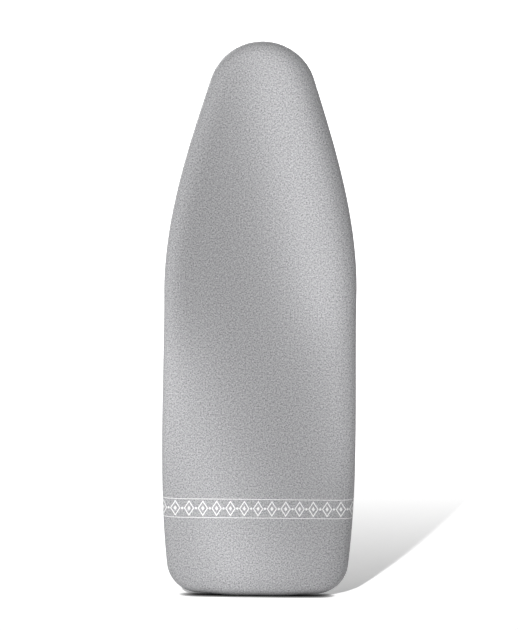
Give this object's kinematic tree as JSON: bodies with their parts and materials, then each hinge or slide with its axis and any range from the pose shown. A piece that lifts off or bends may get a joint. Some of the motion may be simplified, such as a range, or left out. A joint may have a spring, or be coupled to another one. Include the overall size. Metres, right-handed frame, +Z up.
{
  "type": "ironing board cover",
  "caption": "Fitted padded ironing board cover with a rounded nose, a gathered skirt behind the board, a drawcord with a sprung lock and elastic straps across the back.",
  "frame": {"origin": "on the surface that the blunt end stands on, below the middle of the cover", "axes": "+Z up along the cover to its nose, the ironing face looks along -Y and the open back along +Y"},
  "size_m": [0.4214, 0.0598, 1.21],
  "materials": {
    "silver_cotton": "aluminium-coated cotton, satin sheen",
    "foam": "open-cell polyurethane foam sheet",
    "felt": "needled felt",
    "skirt_cotton": "plain-woven cotton",
    "binding_tape": "woven tape",
    "cord_braid": "round elastic braid",
    "lock_plastic": "moulded, fine texture",
    "spring_steel": "drawn wire",
    "elastic_webbing": "woven elastic",
    "hook_tape": "hook and loop tape",
    "label_satin": "bare satin"
  },
  "bodies": {
    "cover": {"face_panel": "silver_cotton", "foam_sheet": "foam", "felt_pad": "felt", "skirt": "skirt_cotton", "seam_binding": "binding_tape", "drawcord_tunnel": "binding_tape", "drawcord": "cord_braid", "cord_pull": "lock_plastic", "care_label": "label_satin", "strap_anchor_lower": "elastic_webbing", "loop_patch_lower": "hook_tape", "strap_anchor_middle": "elastic_webbing", "loop_patch_middle": "hook_tape", "strap_anchor_upper": "elastic_webbing", "loop_patch_upper": "hook_tape"},
    "cord_lock": {"cord_lock_body": "lock_plastic", "cord_lock_spring": "spring_steel"},
    "plunger": {"cord_lock_plunger": "lock_plastic"},
    "strap_lower": {"strap_lower": "elastic_webbing", "hook_patch_lower": "hook_tape"},
    "strap_middle": {"strap_middle": "elastic_webbing", "hook_patch_middle": "hook_tape"},
    "strap_upper": {"strap_upper": "elastic_webbing", "hook_patch_upper": "hook_tape"}
  },
  "joints": [
    {"name": "lock_slide", "type": "slide", "parent": "cover", "child": "cord_lock", "axis": [0, 0, 1], "range_m": [-0.012, 0.008]},
    {"name": "plunger_press", "type": "slide", "parent": "cord_lock", "child": "plunger", "axis": [-1, 0, 0], "range_m": [0, 0.0035], "stiffness_N_per_m": 500, "springref_m": -0.004, "deforming": ["cord_lock_spring"]},
    {"name": "strap_lower_swing", "type": "hinge", "parent": "cover", "child": "strap_lower", "pos_m": [-0.12638, 0.01745, 0.25], "axis": [0, 0, 1], "range_deg": [0, 110]},
    {"name": "strap_middle_swing", "type": "hinge", "parent": "cover", "child": "strap_middle", "pos_m": [-0.12947, 0.01745, 0.48], "axis": [0, 0, 1], "range_deg": [0, 110]},
    {"name": "strap_upper_swing", "type": "hinge", "parent": "cover", "child": "strap_upper", "pos_m": [-0.12817, 0.01745, 0.71], "axis": [0, 0, 1], "range_deg": [0, 110]}
  ]
}
